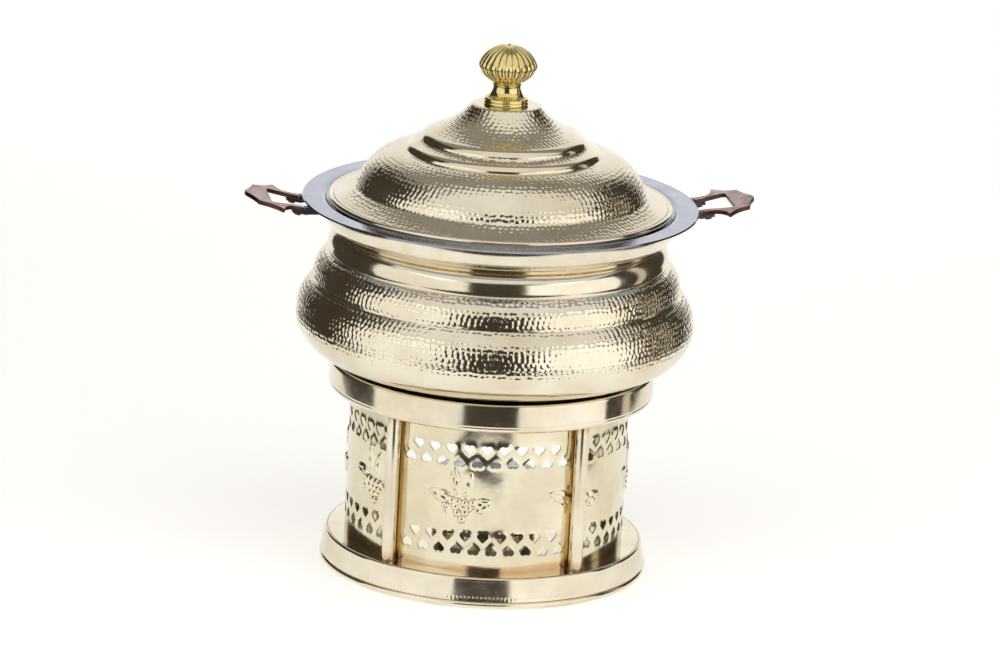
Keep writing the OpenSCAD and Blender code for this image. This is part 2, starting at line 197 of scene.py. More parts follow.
def hammer(front, sides, pitch, height, fade, seed):
    """Height of a hammered face: each mark is a round pimple, h = height (1 + cos(pi d / 0.6 pitch)) / 2.

    Marks lie in rows a little closer than one pitch, each row turned by half a mark, all slightly
    out of place. d is the distance to the nearest centre. fade is the length over which the marks
    die away at the two ends of the outline.
    """
    rng = np.random.default_rng(seed)
    along = np.concatenate([[0], np.cumsum(np.linalg.norm(np.diff(front, axis=0), axis=1))])
    row_step = pitch * 0.88
    rows = int(along[-1] / row_step) + 4
    radii = np.interp((np.arange(rows) - 1) * row_step, along, front[:, 0])
    counts = np.maximum(6, np.round(2 * math.pi * radii / pitch)).astype(int)
    most = counts.max()
    slip_a = rng.normal(0, 0.11, (rows, most))
    slip_s = rng.normal(0, 0.10 * pitch, (rows, most))
    depth = rng.uniform(0.75, 1.3, (rows, most))
    angles = np.arange(sides) * 2 * math.pi / sides
    s = along[:, None]
    base = np.floor(along / row_step).astype(int) + 1
    best = np.full((len(front), sides), 1e9)
    bowl = np.ones((len(front), sides))
    for dk in (-1, 0, 1, 2):
        k = np.clip(base + dk, 0, rows - 1)
        n = counts[k][:, None]
        place = angles[None, :] * n / (2 * math.pi) - 0.5 * (k[:, None] % 2)
        for dj in (0, 1):
            j = np.floor(place).astype(int) + dj
            jm = j % n
            kk = np.broadcast_to(k[:, None], jm.shape)
            da = (place - j - slip_a[kk, jm]) * 2 * math.pi / n * front[:, 0, None]
            ds = s - (kk - 1) * row_step - slip_s[kk, jm]
            d2 = da * da + ds * ds
            nearer = d2 < best
            best = np.where(nearer, d2, best)
            bowl = np.where(nearer, depth[kk, jm], bowl)
    h = height / 2 * bowl * np.cos(math.pi * np.minimum(np.sqrt(best) / (0.6 * pitch), 1))
    edge = np.clip(np.minimum(along, along[-1] - along) / max(fade, 1e-9), 0, 1)
    return h * (edge * edge * (3 - 2 * edge))[:, None]


def tube_ring(name, ring_r, z, wire_r, body, slot, stands_for=(), sides=360, around=20):
    """A wire bent into a circle: r = ring_r + wire_r cos v, height = z + wire_r sin v."""
    v = -np.arange(around) * 2 * math.pi / around
    outline = np.stack([ring_r + wire_r * np.cos(v), z + wire_r * np.sin(v)], 1)
    return turned(name, outline, sides, body, slot, stands_for, sharp=180)


def span(node):
    """(outer radius, lowest, highest) of a round CAD node."""
    lo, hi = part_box(node)
    return max(hi.x, hi.y), lo.z, hi.z


def strung(segments, step):
    """Joins outline segments, each (points, marked), into an even outline and its 0 to 1 mask."""
    points = np.concatenate([np.array(s, float).reshape(-1, 2) for s, _ in segments])
    mask = np.concatenate([np.full(len(np.array(s).reshape(-1, 2)), float(m)) for s, m in segments])
    along = np.concatenate([[0], np.cumsum(np.linalg.norm(np.diff(points, axis=0), axis=1))])
    n = int(round(along[-1] / step)) + 1
    s = np.linspace(0, along[-1], n)
    outline = np.stack([np.interp(s, along, points[:, k]) for k in (0, 1)], 1)
    soft = np.interp(s, along, mask)
    blur = max(1, int(1.5 * MM / step))
    soft = np.convolve(np.pad(soft, blur, mode="edge"), np.ones(2 * blur + 1) / (2 * blur + 1), "valid")
    return outline, soft


# ---------------------------------------------------------------- pot

pot_r, pot_z, neck_z = span("pot_body")
lip_r, _, collar_top = span("pot_collar")
ring_r, ring_z, ring_top = span("top_ring")
neck_r = pot_r - 32.5 * MM
pot_h = neck_z - pot_z
seat_in = np.array([ring_r - 10.9 * MM, ring_top - 4.36 * MM])
seat_out = np.array([ring_r - 7.1 * MM, ring_top - 0.9 * MM])
POT_MARK_PITCH = 5.0 * MM
POT_MARK_HEIGHT = 0.46 * MM


def make_pot():
    """The pot in three skins, smooth shoulder, hammered bulges and smooth base, and its collar."""
    b = pot_r - neck_r
    neck = (neck_r, neck_z)
    shoulder = (neck_r + 0.175 * b, pot_z + 0.8476 * pot_h)
    waist = (neck_r + 0.563 * b, pot_z + 0.6522 * pot_h)
    hem = (neck_r + 0.612 * b, pot_z + 0.2207 * pot_h)
    tuck = seat_out + np.array([6.7, 5.0]) * MM
    cone = seat_out + np.array([2.2, 2.4]) * MM
    foot = seat_in + np.array([-4.0, -3.24]) * MM
    sole = (seat_in[0] - 19.5 * MM, pot_z)
    belly = arc(waist, hem, 0.23 * (waist[1] - hem[1]), 60)
    smooth_from = pot_z + 0.315 * pot_h

    front = even(np.concatenate([arc(neck, shoulder, 3.0 * MM, 16), [shoulder]]), 1.0 * MM)
    turned_sheet("pot_shoulder", front, 400, "pot", "spun_brass", stands_for=("pot_body",))

    front = even(np.concatenate([arc(shoulder, waist, 4.2 * MM, 24), [waist]]), 0.92 * MM)
    marks = hammer(front, 1120, POT_MARK_PITCH, POT_MARK_HEIGHT, 2.5 * MM, 3)
    turned_sheet("pot_upper_bulge", front, 1120, "pot", "spun_brass", height=marks, step=12 * MM)
    front = even(belly[belly[:, 1] > smooth_from], 0.92 * MM)
    marks = hammer(front, 1240, POT_MARK_PITCH, POT_MARK_HEIGHT, 2.5 * MM, 4)
    turned_sheet("pot_lower_bulge", front, 1240, "pot", "spun_brass", height=marks, step=12 * MM)

    last = front[-1]
    low = np.concatenate([[last], belly[belly[:, 1] < smooth_from - 0.2 * MM], arc(hem, tuck, 1.2 * MM, 12),
                          [tuck, cone], arc(foot, sole, 1.6 * MM, 10), [sole, (0, pot_z)]])
    turned_sheet("pot_base", even(low, 1.6 * MM), 400, "pot", "spun_brass", step=6 * MM)

    flare = np.concatenate([arc((lip_r, collar_top), neck, 3.7 * MM, 30), [neck]])
    turned_sheet("pot_collar_skin", even(flare, 0.9 * MM), 400, "pot", "spun_brass",
                 stands_for=("pot_collar",))
    tube_ring("neck_seam", neck_r + 0.1 * MM, neck_z, 0.9 * MM, "pot", "solder", around=10)


# ---------------------------------------------------------------- food pan

flange_r, pan_floor, flange_top = span("food_pan")
ledge_z = flange_top - 2.8 * MM
FLANGE_IN = 160.5 * MM
PAN_CORNER = 24 * MM


def make_pan():
    """The pan: its front is the underside, from the flange's edge in to the middle of the floor."""
    wall_r = neck_r - SHEET - 1.4 * MM
    under_ledge = ledge_z - SHEET
    path = np.concatenate([
        arc((flange_r, collar_top + 0.5 * MM), (flange_r - 0.7 * MM, collar_top), 0.14 * MM, 3),
        [(flange_r - 0.7 * MM, collar_top), (FLANGE_IN + 2 * MM, collar_top)],
        arc((FLANGE_IN + 2 * MM, collar_top), (FLANGE_IN - 1.2 * MM, under_ledge + 0.9 * MM), -0.3 * MM, 5),
        arc((FLANGE_IN - 1.2 * MM, under_ledge + 0.9 * MM), (FLANGE_IN - 4.2 * MM, under_ledge), 0.3 * MM, 5),
        arc((wall_r + 3.5 * MM, under_ledge), (wall_r, under_ledge - 3.5 * MM), -1.0 * MM, 6),
        arc((wall_r, pan_floor + PAN_CORNER), (wall_r - PAN_CORNER, pan_floor), 0.293 * PAN_CORNER, 14),
        [(wall_r - PAN_CORNER, pan_floor), (0, pan_floor)],
    ])
    turned_sheet("pan_shell", even(path, 0.8 * MM), 300, "pan", "polished_steel", step=0.9 * MM,
                 stands_for=("food_pan",))


# ---------------------------------------------------------------- lid

lid_top = span("lid_shell")[2]
wire_out, wire_low, wire_high = span("lid_rim")
wire_r = (wire_high - wire_low) / 2
lid_rim_r = wire_out - wire_r
rim_z = (wire_high + wire_low) / 2
lid_h = lid_top - rim_z
foot_r, _, knob_neck_z = span("knob_foot")
bulb_r, _, knob_tip = span("knob_bulb")


def make_lid():
    """The lid in two skins: bell, beads and groove over a hammered dome and brim, and its wire rim."""
    t = lid_top
    bell = (bulb_r + 4.4 * MM, t - 0.8 * MM)
    bead_a = (68 * MM, t - 0.294 * lid_h)
    groove_a = (75.3 * MM, t - 0.374 * lid_h)
    bead_b = (82 * MM, t - 0.41 * lid_h)
    groove_b = (88.5 * MM, t - 0.482 * lid_h)
    brim = (lid_rim_r - 21.7 * MM, t - 0.865 * lid_h)
    end = (lid_rim_r - 1.93 * MM, rim_z + 2.3 * MM)

    crown, mask = strung([
        ([(4 * MM, t), (bell[0] - 2 * MM, t)], 0),
        (arc(bell, bead_a, -3.2 * MM, 24), 1),
        (arc(bead_a, groove_a, 1.6 * MM, 12), 0),
        (arc(groove_a, bead_b, -0.5 * MM, 8), 1),
        (arc(bead_b, groove_b, 1.6 * MM, 12), 0),
        ([groove_b], 0),
    ], 0.95 * MM)
    marks = hammer(crown, 560, 4.6 * MM, 0.36 * MM, 1 * MM, 11) * mask[:, None]
    turned_sheet("lid_crown", crown, 560, "lid", "spun_brass", RIM_SHEET, height=marks, step=8 * MM,
                 stands_for=("lid_shell",))

    dome, mask = strung([(arc(groove_b, brim, 8.5 * MM, 40), 1),
                         (arc(brim, end, -0.6 * MM, 12), 1), ([end], 1)], 0.95 * MM)
    marks = hammer(dome, 960, 4.8 * MM, 0.40 * MM, 1.5 * MM, 12) * mask[:, None]
    turned_sheet("lid_dome", dome, 960, "lid", "spun_brass", RIM_SHEET, height=marks, step=8 * MM)

    tube_ring("lid_wire", lid_rim_r, rim_z, wire_r, "lid", "spun_brass", ("lid_rim",))


def make_knob():
    """The turned foot, and the bulb with its lobes: r falls by depth (1 - |cos 11 t|^0.6) between lobes."""
    z = lid_top
    neck = bulb_r / 2
    band = foot_r - 0.6 * MM
    path = np.concatenate([
        [(4.1 * MM, knob_neck_z), (neck - 0.4 * MM, knob_neck_z)],
        arc((neck, knob_neck_z - 0.4 * MM), (bulb_r * 0.68, z + 6.8 * MM), -2.4 * MM, 16),
        [(bulb_r * 0.68, z + 6.6 * MM)],
        arc((bulb_r * 0.72, z + 6.2 * MM), (band, z + 5.6 * MM), 0.2 * MM, 4),
        arc((band, z + 5.4 * MM), (band, z + 3.4 * MM), 0.4 * MM, 7),
        [(band - 0.35 * MM, z + 3.2 * MM)],
        arc((band, z + 3.0 * MM), (band + 0.3 * MM, z + 0.4 * MM), 0.5 * MM, 7),
        [(band, z), (4.1 * MM, z)],
    ])
    turned("knob_foot_turned", even(path, 0.35 * MM), 200, "lid", "yellow_brass", ("knob_foot",))

    z = knob_neck_z
    stud_r, _, stud_high = span("knob_stud")
    stud = stud_r + 0.05 * MM
    stud_top = stud_high + 0.3 * MM
    wide = (bulb_r, z + 0.63 * bulb_r)
    tip = (0.12 * bulb_r, z + 1.31 * bulb_r)
    path = np.concatenate([
        arc(tip, wide, 4.6 * MM, 40),
        arc(wide, (bulb_r * 0.49, z + 1.5 * MM), 2.6 * MM, 24),
        [(bulb_r * 0.49, z + 1.5 * MM), (bulb_r * 0.47, z), (stud, z), (stud, stud_top), (0, stud_top)],
    ])
    path = np.concatenate([[(0, knob_tip)], arc((0.6 * MM, knob_tip - 0.1 * MM), tip, -0.35 * MM, 8), path])
    outline = even(path, 0.55 * MM)
    sides = 22 * 14
    angles = np.arange(sides) * 2 * math.pi / sides
    lobes = 1 - np.abs(np.cos(11 * angles)) ** 0.6
    depth = 1.5 * MM * np.clip((outline[:, 0] / bulb_r - 0.1) / 0.9, 0, 1)
    outside = np.cumsum(outline[:, 1] < z + 1.2 * MM) == 0
    depth *= outside
    turned("knob_bulb_fluted", outline, sides, "lid", "yellow_brass", ("knob_bulb",),
           height=-depth[:, None] * lobes[None, :], sharp=60)


# ---------------------------------------------------------------- stand

base_r, _, base_top = span("base_tray")
shroud_r = base_r - 23 * MM
plate_z = span("shroud_front")[2]
POST_R = 6.35 * MM
SHROUD_SHEET = 1.2 * MM
HEART_COUNT = 50
HEART_W = 10.5 * MM
motif_z = base_top + 0.415 * (plate_z - base_top)
MOTIF_TURNS = [-94.6, -52, -9.3, 41, 90]
POST_TURNS = [-FRONT_POST, FRONT_POST, 180 - FRONT_POST, 180 + FRONT_POST]


def make_base():
    """The tray's top and skirt with a row of fine ticks above its rolled edge."""
    wire = 3.4 * MM
    front = np.concatenate([
        [(0, base_top), (base_r - 6.5 * MM, base_top)],
        arc((base_r - 6.9 * MM, base_top), (base_r - 4.4 * MM, base_top - 2.8 * MM), 0.8 * MM, 6),
        [(base_r - 4.4 * MM, base_top - 2.8 * MM), (base_r - 1.2 * MM, 2 * wire)],
    ])
    flat = even(front[:2], 8 * MM)
    front = np.concatenate([flat, even(front[2:], 0.9 * MM)])
    sides = 1000
    angles = np.arange(sides) * 2 * math.pi / sides
    ticks = np.maximum(0, np.cos(250 * angles))[None, :]
    band = np.exp(-(((front[:, 1] - 9.2 * MM) / (1.2 * MM)) ** 2))[:, None] * (front[:, 0, None] > 0.14)
    turned_sheet("base_skirt", front, sides, "stand", "spun_brass", step=9 * MM,
                 height=-0.16 * MM * ticks * band, stands_for=("base_tray",))
    v = -np.arange(28) * 2 * math.pi / 28 + math.pi / 2
    bead = np.stack([base_r - wire + wire * np.cos(v), np.maximum(0, 3 * MM + wire * np.sin(v))], 1)
    turned("base_bead", bead, 400, "stand", "spun_brass", sharp=50)


def make_top_ring():
    """The band with its turned-in lip below and the sloping seat for the pot above."""
    lip = ring_r - 6.6 * MM
    path = np.concatenate([
        [seat_in, seat_out, (ring_r - 5 * MM, ring_top)],
        arc((ring_r - 2.4 * MM, ring_top), (ring_r, ring_top - 2.6 * MM), 0.8 * MM, 7),
        [(ring_r, ring_top - 2.6 * MM), (ring_r, ring_z + 5.6 * MM), (ring_r - 0.35 * MM, ring_z + 5.0 * MM)],
        arc((ring_r - 0.1 * MM, ring_z + 4.4 * MM), (ring_r - 3.6 * MM, ring_z), 1.0 * MM, 9),
        [(ring_r - 3.6 * MM, ring_z), (lip, ring_z)],
    ])
    turned_sheet("ring_band", even(path, 0.6 * MM), 400, "stand", "spun_brass", step=2 * MM,
                 stands_for=("top_ring",))


def stand_point(turn, radius, z):
    """A place on the stand: turn degrees round from its front, which faces STAND_TURN from -Y."""
    a = np.radians(STAND_TURN + np.asarray(turn, float))
    return np.stack(np.broadcast_arrays(radius * np.sin(a), -radius * np.cos(a), z), -1)


def post_heat(z):
    """Heat colour of a post: strong by the solder at its two ends, gone 16 mm away."""
    return np.exp(-(np.minimum(z - base_top, plate_z - z) / (7 * MM)) ** 2)


def sheet_heat(turn, z):
    """Heat colour of the sheet: a wandering band along the lower edge, and fans at the posts' ends."""
    x = np.radians(turn) * shroud_r
    low = (z - base_top) / MM
    band = 5.5 + 2.5 * np.sin(x / 0.031) + 1.8 * np.sin(x / 0.0123 + 2.0)
    heat = 0.6 * np.exp(-(low / band) ** 2)
    for p in POST_TURNS:
        away = np.abs(np.radians((turn - p + 180) % 360 - 180)) * shroud_r / MM
        for up in (low, (plate_z - z) / MM):
            heat = np.maximum(heat, 0.85 * np.exp(-((np.maximum(away - 5, 0) / 8) ** 2 + (up / 13) ** 2)))
        heat = np.maximum(heat, 0.4 * np.exp(-(np.maximum(away - 5, 0) / 5) ** 2))
    return heat


def make_post(node, turn):
    """A tube r = POST_R standing between the base and the plate, with a bead of solder at each end."""
    z = np.linspace(plate_z - 0.05 * MM, base_top + 0.05 * MM, 24)
    outer = np.stack([np.full(24, POST_R), z], 1)
    outline = np.concatenate([outer, sheet_back(outer, SHROUD_SHEET, 20 * MM)])
    place = stand_point(turn, shroud_r + POST_R + 0.8 * MM, 0.0)
    points = turned_points(outline, 64).reshape(-1, 3) + place
    faces = turned_faces(len(outline), 64, True).tolist()
    add_mesh(f"{node}_tube", points, faces, "stand", "spun_brass", (node,), heat=post_heat(points[:, 2]))
    rng = np.random.default_rng(int(turn) + 500)
    for k, (end, up) in enumerate(((base_top, 1), (plate_z, -1))):
        angles = np.arange(48) * 2 * math.pi / 48
        lumps = 1 + 0.25 * np.sin(3 * angles + rng.uniform(0, 6))
        lumps += 0.15 * np.sin(7 * angles + rng.uniform(0, 6))
        v = -np.arange(12) * 2 * math.pi / 12
        outline = np.stack([POST_R + 0.2 * MM + 0.9 * MM * np.cos(v),
                            end + up * (0.35 + 0.6 * np.sin(v)) * MM], 1)
        if up < 0:
            outline = outline[::-1]
        height = np.broadcast_to(0.4 * MM * (lumps - 1), (12, 48))
        points = turned_points(outline, 48, height).reshape(-1, 3) + place
        faces = turned_faces(12, 48, True).tolist()
        add_mesh(f"{node}_solder_{k}", points, faces, "stand", "solder", sharp=180)


def heart_outline(width, upside_down, n=9):
    """A heart about its middle: a square on its corner with a half disc on each upper side.

    The square's side is width / 1.707.
    """
    s = width / 1.707
    d = s / math.sqrt(2)
    a = np.linspace(-45, 135, n)
    right = np.stack([d / 2 + s / 2 * np.cos(np.radians(a)), d / 2 + s / 2 * np.sin(np.radians(a))], 1)
    left = right[::-1] * (-1, 1)
    side = np.linspace(0, 1, 5)[1:-1, None]
    low = np.array([[0, -d]])
    up_right = low + (right[0] - low) * side
    up_left = left[-1] + (low - left[-1]) * side
    loop = np.concatenate([low, up_right, right, left[1:], up_left])
    return loop * (1, -1) if upside_down else loop


def relief(x, z):
    """Height of the beaten fruit and leaves over the sheet, with x across and z up from a bunch's middle.

    A grape is a round boss, h = H sqrt(1 - (d / r)^2), in rows of 4, 3, 2 and 1. A leaf is a pointed
    boss with a groove along its middle. The ground round a bunch is beaten slightly down.
    """
    h = np.zeros_like(x)
    grape = 3.7 * MM
    pitch = 6.3 * MM
    for row in range(4):
        for i in range(4 - row):
            gx = (i - (3 - row) / 2) * pitch + 0.9 * MM * math.sin(5.1 * i + 2.3 * row)
            gz = 7 * MM - row * pitch * 0.84 + 0.6 * MM * math.cos(4.7 * i + row)
            d2 = ((x - gx) ** 2 + (z - gz) ** 2) / grape ** 2
            h = np.maximum(h, 3.0 * MM * np.sqrt(np.clip(1 - d2, 0, 1)))
    for lx, lz, length, width, turn in ((-20, 12, 24, 12, 72), (19, 4, 19, 14, -58), (-7, 26, 28, 9, 6),
                                        (5, 24, 26, 9, -14), (-15, 1, 13, 7, 20)):
        a = math.radians(turn)
        dx = x - lx * MM
        dz = z - lz * MM
        t = (-dx * math.sin(a) + dz * math.cos(a)) / (length / 2 * MM)
        across = (dx * math.cos(a) + dz * math.sin(a)) / (width / 2 * MM)
        half = np.clip(1 - t * t, 0, 1)
        inside = np.clip(1 - (across / np.maximum(half, 1e-3)) ** 2, 0, 1) * (half > 0)
        vein = 0.45 * np.exp(-((across / 0.16) ** 2))
        rays = 0.16 * np.cos(9 * t + 6 * np.abs(across)) * np.clip(inside * 2, 0, 1)
        h = np.maximum(h, 1.7 * MM * (np.sqrt(inside) * (1 - vein) + rays * np.sqrt(inside)))
    ground = np.exp(-((x / (19 * MM)) ** 2 + (z / (17 * MM)) ** 2) ** 2)
    return h - 0.6 * MM * ground


def height_of_hearts(low):
    """The middle height of the lower or the upper band of hearts."""
    return base_top + 26 * MM if low else plate_z - 30 * MM


def sheet_height(turn, z):
    """The shroud's shape over its cylinder: the relief, plus the slow waves of hand-rolled sheet."""
    x = np.radians(turn) * shroud_r
    wave = 0.75 * np.sin(x / 0.0150 + 1.3 * np.sin(z / 0.021)) * np.sin(z / 0.023 + 0.8 * np.sin(x / 0.034))
    wave += 0.80 * np.sin(x / 0.031 + 0.6) * np.cos(z / 0.034 + x / 0.08)
    for row in (height_of_hearts(False), height_of_hearts(True)):
        wave += 0.50 * np.exp(-((z - row) / 0.009) ** 2) * np.sin(x / 0.0105 + 2.2 * np.sin(x / 0.047))
    h = wave * MM
    for m in MOTIF_TURNS:
        off = (turn - m + 180) % 360 - 180
        near = np.abs(off) < 17
        h = h + np.where(near, relief(np.radians(off) * shroud_r, z - motif_z), 0)
    posts = np.min([np.abs((turn - p + 180) % 360 - 180) for p in POST_TURNS], axis=0)
    keep = np.clip((posts - 3.2) / 2.0, 0.12, 1)
    return h * keep


def hearts_in(a0, a1):
    """Each heart between two angles as (turn, height, upside down)."""
    pitch = 360 / HEART_COUNT
    height = plate_z - base_top
    rows = ((height - 25 * MM, 0, False), (height - 35.4 * MM, 0.5, True),
            (31 * MM, 0, False), (20.6 * MM, 0.5, True))
    found = []
    for z, shift, down in rows:
        for i in range(-HEART_COUNT, HEART_COUNT):
            a = (i + shift) * pitch
            if a0 + 3.2 < a < a1 - 3.2:
                found.append((a, base_top + z, down))
    return found


def make_panel(name, a0, a1, stands_for=()):
    """One rolled panel: a flat sheet with hearts cut out, triangulated flat, then bent to the cylinder.

    x across becomes the angle x / shroud_r, and each point moves out by sheet_height and by a lip
    0.4 mm high that dies away within 1.4 mm of a heart's edge.
    """
    width = math.radians(a1 - a0) * shroud_r
    middle = (a0 + a1) / 2
    z0, z1 = base_top + 0.05 * MM, plate_z - 0.05 * MM
    holes = []
    for a, z, down in hearts_in(a0, a1):
        holes.append(heart_outline(HEART_W, down) + (math.radians(a - middle) * shroud_r, z))
    border_x = np.linspace(-width / 2 + 0.1 * MM, width / 2 - 0.1 * MM, int(width / (2.2 * MM)))
    border_z = np.linspace(z0, z1, 60)
    border = np.concatenate([
        np.stack([border_x, np.full_like(border_x, z0)], 1),
        np.stack([np.full(59, border_x[-1]), border_z[1:]], 1),
        np.stack([border_x[-2::-1], np.full(len(border_x) - 1, z1)], 1),
        np.stack([np.full(58, border_x[0]), border_z[-2:0:-1]], 1),
    ])
    coarse = np.stack(np.meshgrid(np.arange(border_x[0] + 1.6 * MM, border_x[-1] - 1.2 * MM, 2.4 * MM),
                                  np.arange(z0 + 1.6 * MM, z1 - 1.2 * MM, 2.4 * MM)), -1).reshape(-1, 2)
    fine = []
    for m in MOTIF_TURNS:
        off = (m - middle + 180) % 360 - 180
        cx = math.radians(off) * shroud_r
        across = np.arange(cx - 34 * MM, cx + 34 * MM, 0.85 * MM)
        up = np.arange(motif_z - 19 * MM, motif_z + 38 * MM, 0.85 * MM)
        patch = np.stack(np.meshgrid(across, up), -1).reshape(-1, 2)
        patch = patch[(patch[:, 0] > border_x[0] + 1 * MM) & (patch[:, 0] < border_x[-1] - 1 * MM)]
        fine.append(patch)
        inside = (np.abs(coarse[:, 0] - cx) < 34 * MM) & (coarse[:, 1] > motif_z - 19.5 * MM)
        coarse = coarse[~(inside & (coarse[:, 1] < motif_z + 38.5 * MM))]
    free = np.concatenate([coarse] + fine)
    centres = np.array([h.mean(0) for h in holes])
    gap = np.min(np.linalg.norm(free[:, None, :] - centres[None, :, :], axis=2), axis=1)
    near = np.where(gap < 8 * MM)[0]
    drop = np.zeros(len(free), bool)
    for h in holes:
        d = np.linalg.norm(free[near, None, :] - h[None, :, :], axis=2).min(1)
        drop[near] |= (d < 0.7 * MM) | in_loop(free[near], h)
    collars = []
    for h in holes:
        away = h - h.mean(0)
        for grow in (1.1, 2.1):
            ring = h + away / np.linalg.norm(away, axis=1)[:, None] * grow * MM
            collars.append(ring)
            d = np.linalg.norm(free[near, None, :] - ring[None, :, :], axis=2).min(1)
            drop[near] |= d < 0.55 * MM
    free = free[~drop]
    collars = np.concatenate(collars)
    spread = np.linalg.norm(collars[:, None, :] - centres[None, :, :], axis=2)
    collars = collars[np.sort(spread, axis=1)[:, 1] > 8.2 * MM]
    kept = (np.abs(collars[:, 0]) < border_x[-1] - 0.6 * MM)
    free = np.concatenate([free, collars[kept]])
    loops = [border] + holes
    flat = np.concatenate(loops + [free])
    edges = []
    before = 0
    for loop in loops:
        n = len(loop)
        edges += [(before + i, before + (i + 1) % n) for i in range(n)]
        before += n
    made = delaunay_2d_cdt([Vector(p * 1000) for p in flat], edges, [], 0, 1e-5)
    where = np.array([tuple(v) for v in made[0]]) / 1000
    tris = np.array([f for f in made[2]])
    mid = where[tris].mean(1)
    cut = np.zeros(len(tris), bool)
    for h in holes:
        close = np.linalg.norm(mid - h.mean(0), axis=1) < 8 * MM
        idx = np.where(close)[0]
        cut[idx] |= in_loop(mid[idx], h)
    tris = tris[~cut]
    turn = middle + np.degrees(where[:, 0] / shroud_r)
    lift = sheet_height(turn, where[:, 1])
    for h in holes:  # the punch drags the sheet out into a lip round each heart
        close = np.where(np.linalg.norm(where - h.mean(0), axis=1) < 11 * MM)[0]
        d = np.linalg.norm(where[close, None, :] - h[None, :, :], axis=2).min(1)
        lift[close] += 0.4 * MM * np.exp(-(d / (1.4 * MM)) ** 2)
    outer = stand_point(turn, shroud_r + lift, where[:, 1])
    inner = stand_point(turn, shroud_r - SHROUD_SHEET + lift, where[:, 1])
    heat = sheet_heat(turn, where[:, 1])
    n = len(where)
    sides = np.concatenate([tris[:, [0, 1]], tris[:, [1, 2]], tris[:, [2, 0]]])
    keys = np.sort(sides, axis=1)
    code = keys[:, 0] * n + keys[:, 1]
    _, first, count = np.unique(code, return_index=True, return_counts=True)
    rim = sides[first[count == 1]]
    walls = np.stack([rim[:, 1], rim[:, 0], rim[:, 0] + n, rim[:, 1] + n], 1)
    faces = tris.tolist() + (tris[:, ::-1] + n).tolist() + walls.tolist()
    add_mesh(name, np.concatenate([outer, inner]), faces, "stand", "spun_brass", stands_for, sharp=50,
             finish="brass_sheet", heat=np.concatenate([heat, heat]))


def in_loop(points, loop):
    """Whether each point lies inside a closed loop, by counting crossings."""
    x, y = points[:, 0, None], points[:, 1, None]
    ax, ay = loop[:, 0], loop[:, 1]
    bx, by = np.roll(ax, -1), np.roll(ay, -1)
    crosses = (ay > y) != (by > y)
    safe = np.where(by == ay, 1e-12, by - ay)
    return (crosses & (x < ax + (y - ay) * (bx - ax) / safe)).sum(1) % 2 == 1


def make_stand():
    """Base, ring, four posts and three panels; the back stays open for the burner."""
    make_base()
    make_top_ring()
    posts = ("post_front_left", "post_front_right", "post_back_right", "post_back_left")
    for node, turn in zip(posts, POST_TURNS):
        make_post(node, turn)
    make_panel("shroud_left_sheet", FRONT_POST - 180, -FRONT_POST, ("shroud_left",))
    make_panel("shroud_front_sheet", -FRONT_POST, FRONT_POST,
               ("shroud_front", "grape_relief", "leaf_relief", "solder_collars"))
    make_panel("shroud_right_sheet", FRONT_POST, 180 - FRONT_POST, ("shroud_right",))


# ---------------------------------------------------------------- handles

HANDLE_RISE = 10.0
HANDLE_T = 4.0 * MM
HANDLE_START = 2.0 * MM  # past the flange's edge
HANDLE_REACH = 52.5 * MM  # from there to the tip


def handle_loop(reach, half):
    """Half of a handle: tip, scallop, corner, scallop, shoulder, prong, then back along the open middle."""
    prong_y = 21.5 * MM
    w = 4.5 * MM
    side = np.concatenate([
        arc((reach + 0.3 * MM, 0), (reach - 0.6 * MM, 0.12 * half), -0.3 * MM, 4),
        arc((reach - 0.6 * MM, 0.13 * half), (reach - 9 * MM, 0.66 * half), 1.0 * MM, 10),
        arc((reach - 9 * MM, 0.66 * half), (reach - 11 * MM, 0.69 * half), -0.4 * MM, 3),
        arc((reach - 11 * MM, 0.69 * half), (reach - 29 * MM, half), 2.4 * MM, 12),
        arc((reach - 29 * MM, half), (reach - 31.5 * MM, half - 0.6 * MM), -0.8 * MM, 4),
        arc((reach - 31.5 * MM, half - 0.6 * MM), (12 * MM, prong_y + w), 2.0 * MM, 10),
        [(8 * MM, prong_y + w), (1.2 * MM, prong_y + w), (1.2 * MM, prong_y - w)],
        arc((8 * MM, prong_y - w), (reach - 24.5 * MM, 0.54 * half), 0.6 * MM, 10),
        arc((reach - 24.5 * MM, 0.54 * half), (reach - 22 * MM, 0.46 * half), 0.8 * MM, 5),
        [(reach - 22 * MM, 0.46 * half), (reach - 22 * MM, 0.2 * half)],
    ])
    other = side[::-1] * (1, -1)
    loop = np.concatenate([side, other[:-1]])
    keep = np.linalg.norm(loop - np.roll(loop, 1, axis=0), axis=1) > 1e-6
    return loop[keep]


def flat_triangles(loop):
    """Triangles that fill a closed flat loop, as rows of its point numbers."""
    n = len(loop)
    edges = [(i, (i + 1) % n) for i in range(n)]
    made = delaunay_2d_cdt([Vector(p * 1000) for p in loop], edges, [], 0, 1e-7)
    tris = np.array([f for f in made[2]])
    source = np.array([v[0] for v in made[3]])
    where = np.array([tuple(v) for v in made[0]]) / 1000
    return source[tris[in_loop(where[tris].mean(1), loop)]]


